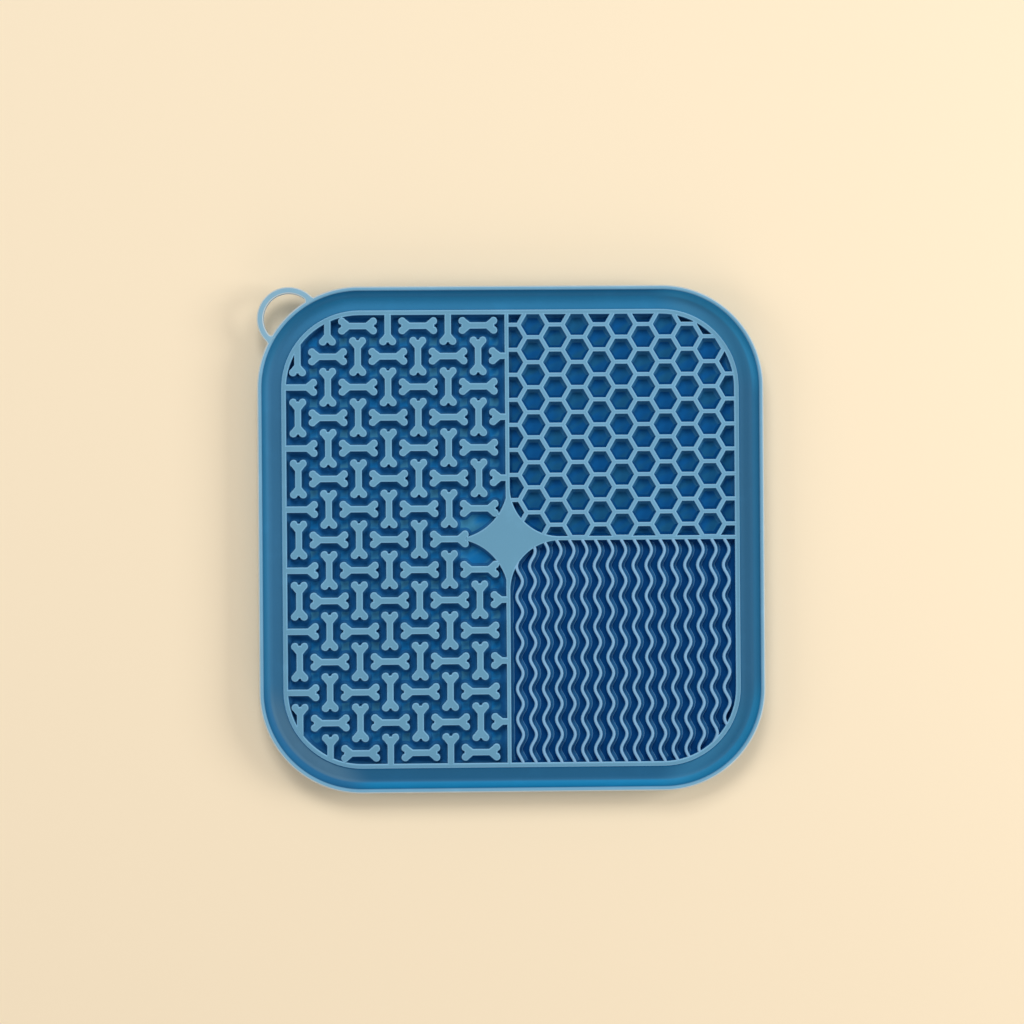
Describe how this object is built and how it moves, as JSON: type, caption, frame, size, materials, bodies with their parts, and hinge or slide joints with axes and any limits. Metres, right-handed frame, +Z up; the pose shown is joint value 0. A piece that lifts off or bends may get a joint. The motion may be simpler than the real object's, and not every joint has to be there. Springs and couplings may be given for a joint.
{
  "type": "lick mat",
  "caption": "Square silicone lick mat with a raised rim, bone, honeycomb and wave textures to spread soft food on, and a corner hanging loop.",
  "frame": {"origin": "middle of the mat's flat underside, lying as used", "axes": "+X to the mat's right and +Y to its top edge as seen from above, +Z up out of the textured face; the hanging loop is at the -X +Y corner"},
  "size_m": [0.199, 0.199, 0.012],
  "materials": {
    "relief_silicone": "matte",
    "rim_silicone": "satin",
    "web_silicone": "satin"
  },
  "bodies": {
    "root": {"base_sheet": "web_silicone", "outer_rim": "rim_silicone", "border_ridge": "relief_silicone", "long_divider": "relief_silicone", "cross_divider": "relief_silicone", "centre_star": "relief_silicone", "lying_bones": "relief_silicone", "standing_bones": "relief_silicone", "border_bones": "relief_silicone", "honeycomb": "relief_silicone", "wave_ribs": "relief_silicone", "hanging_loop": "rim_silicone"}
  },
  "joints": []
}
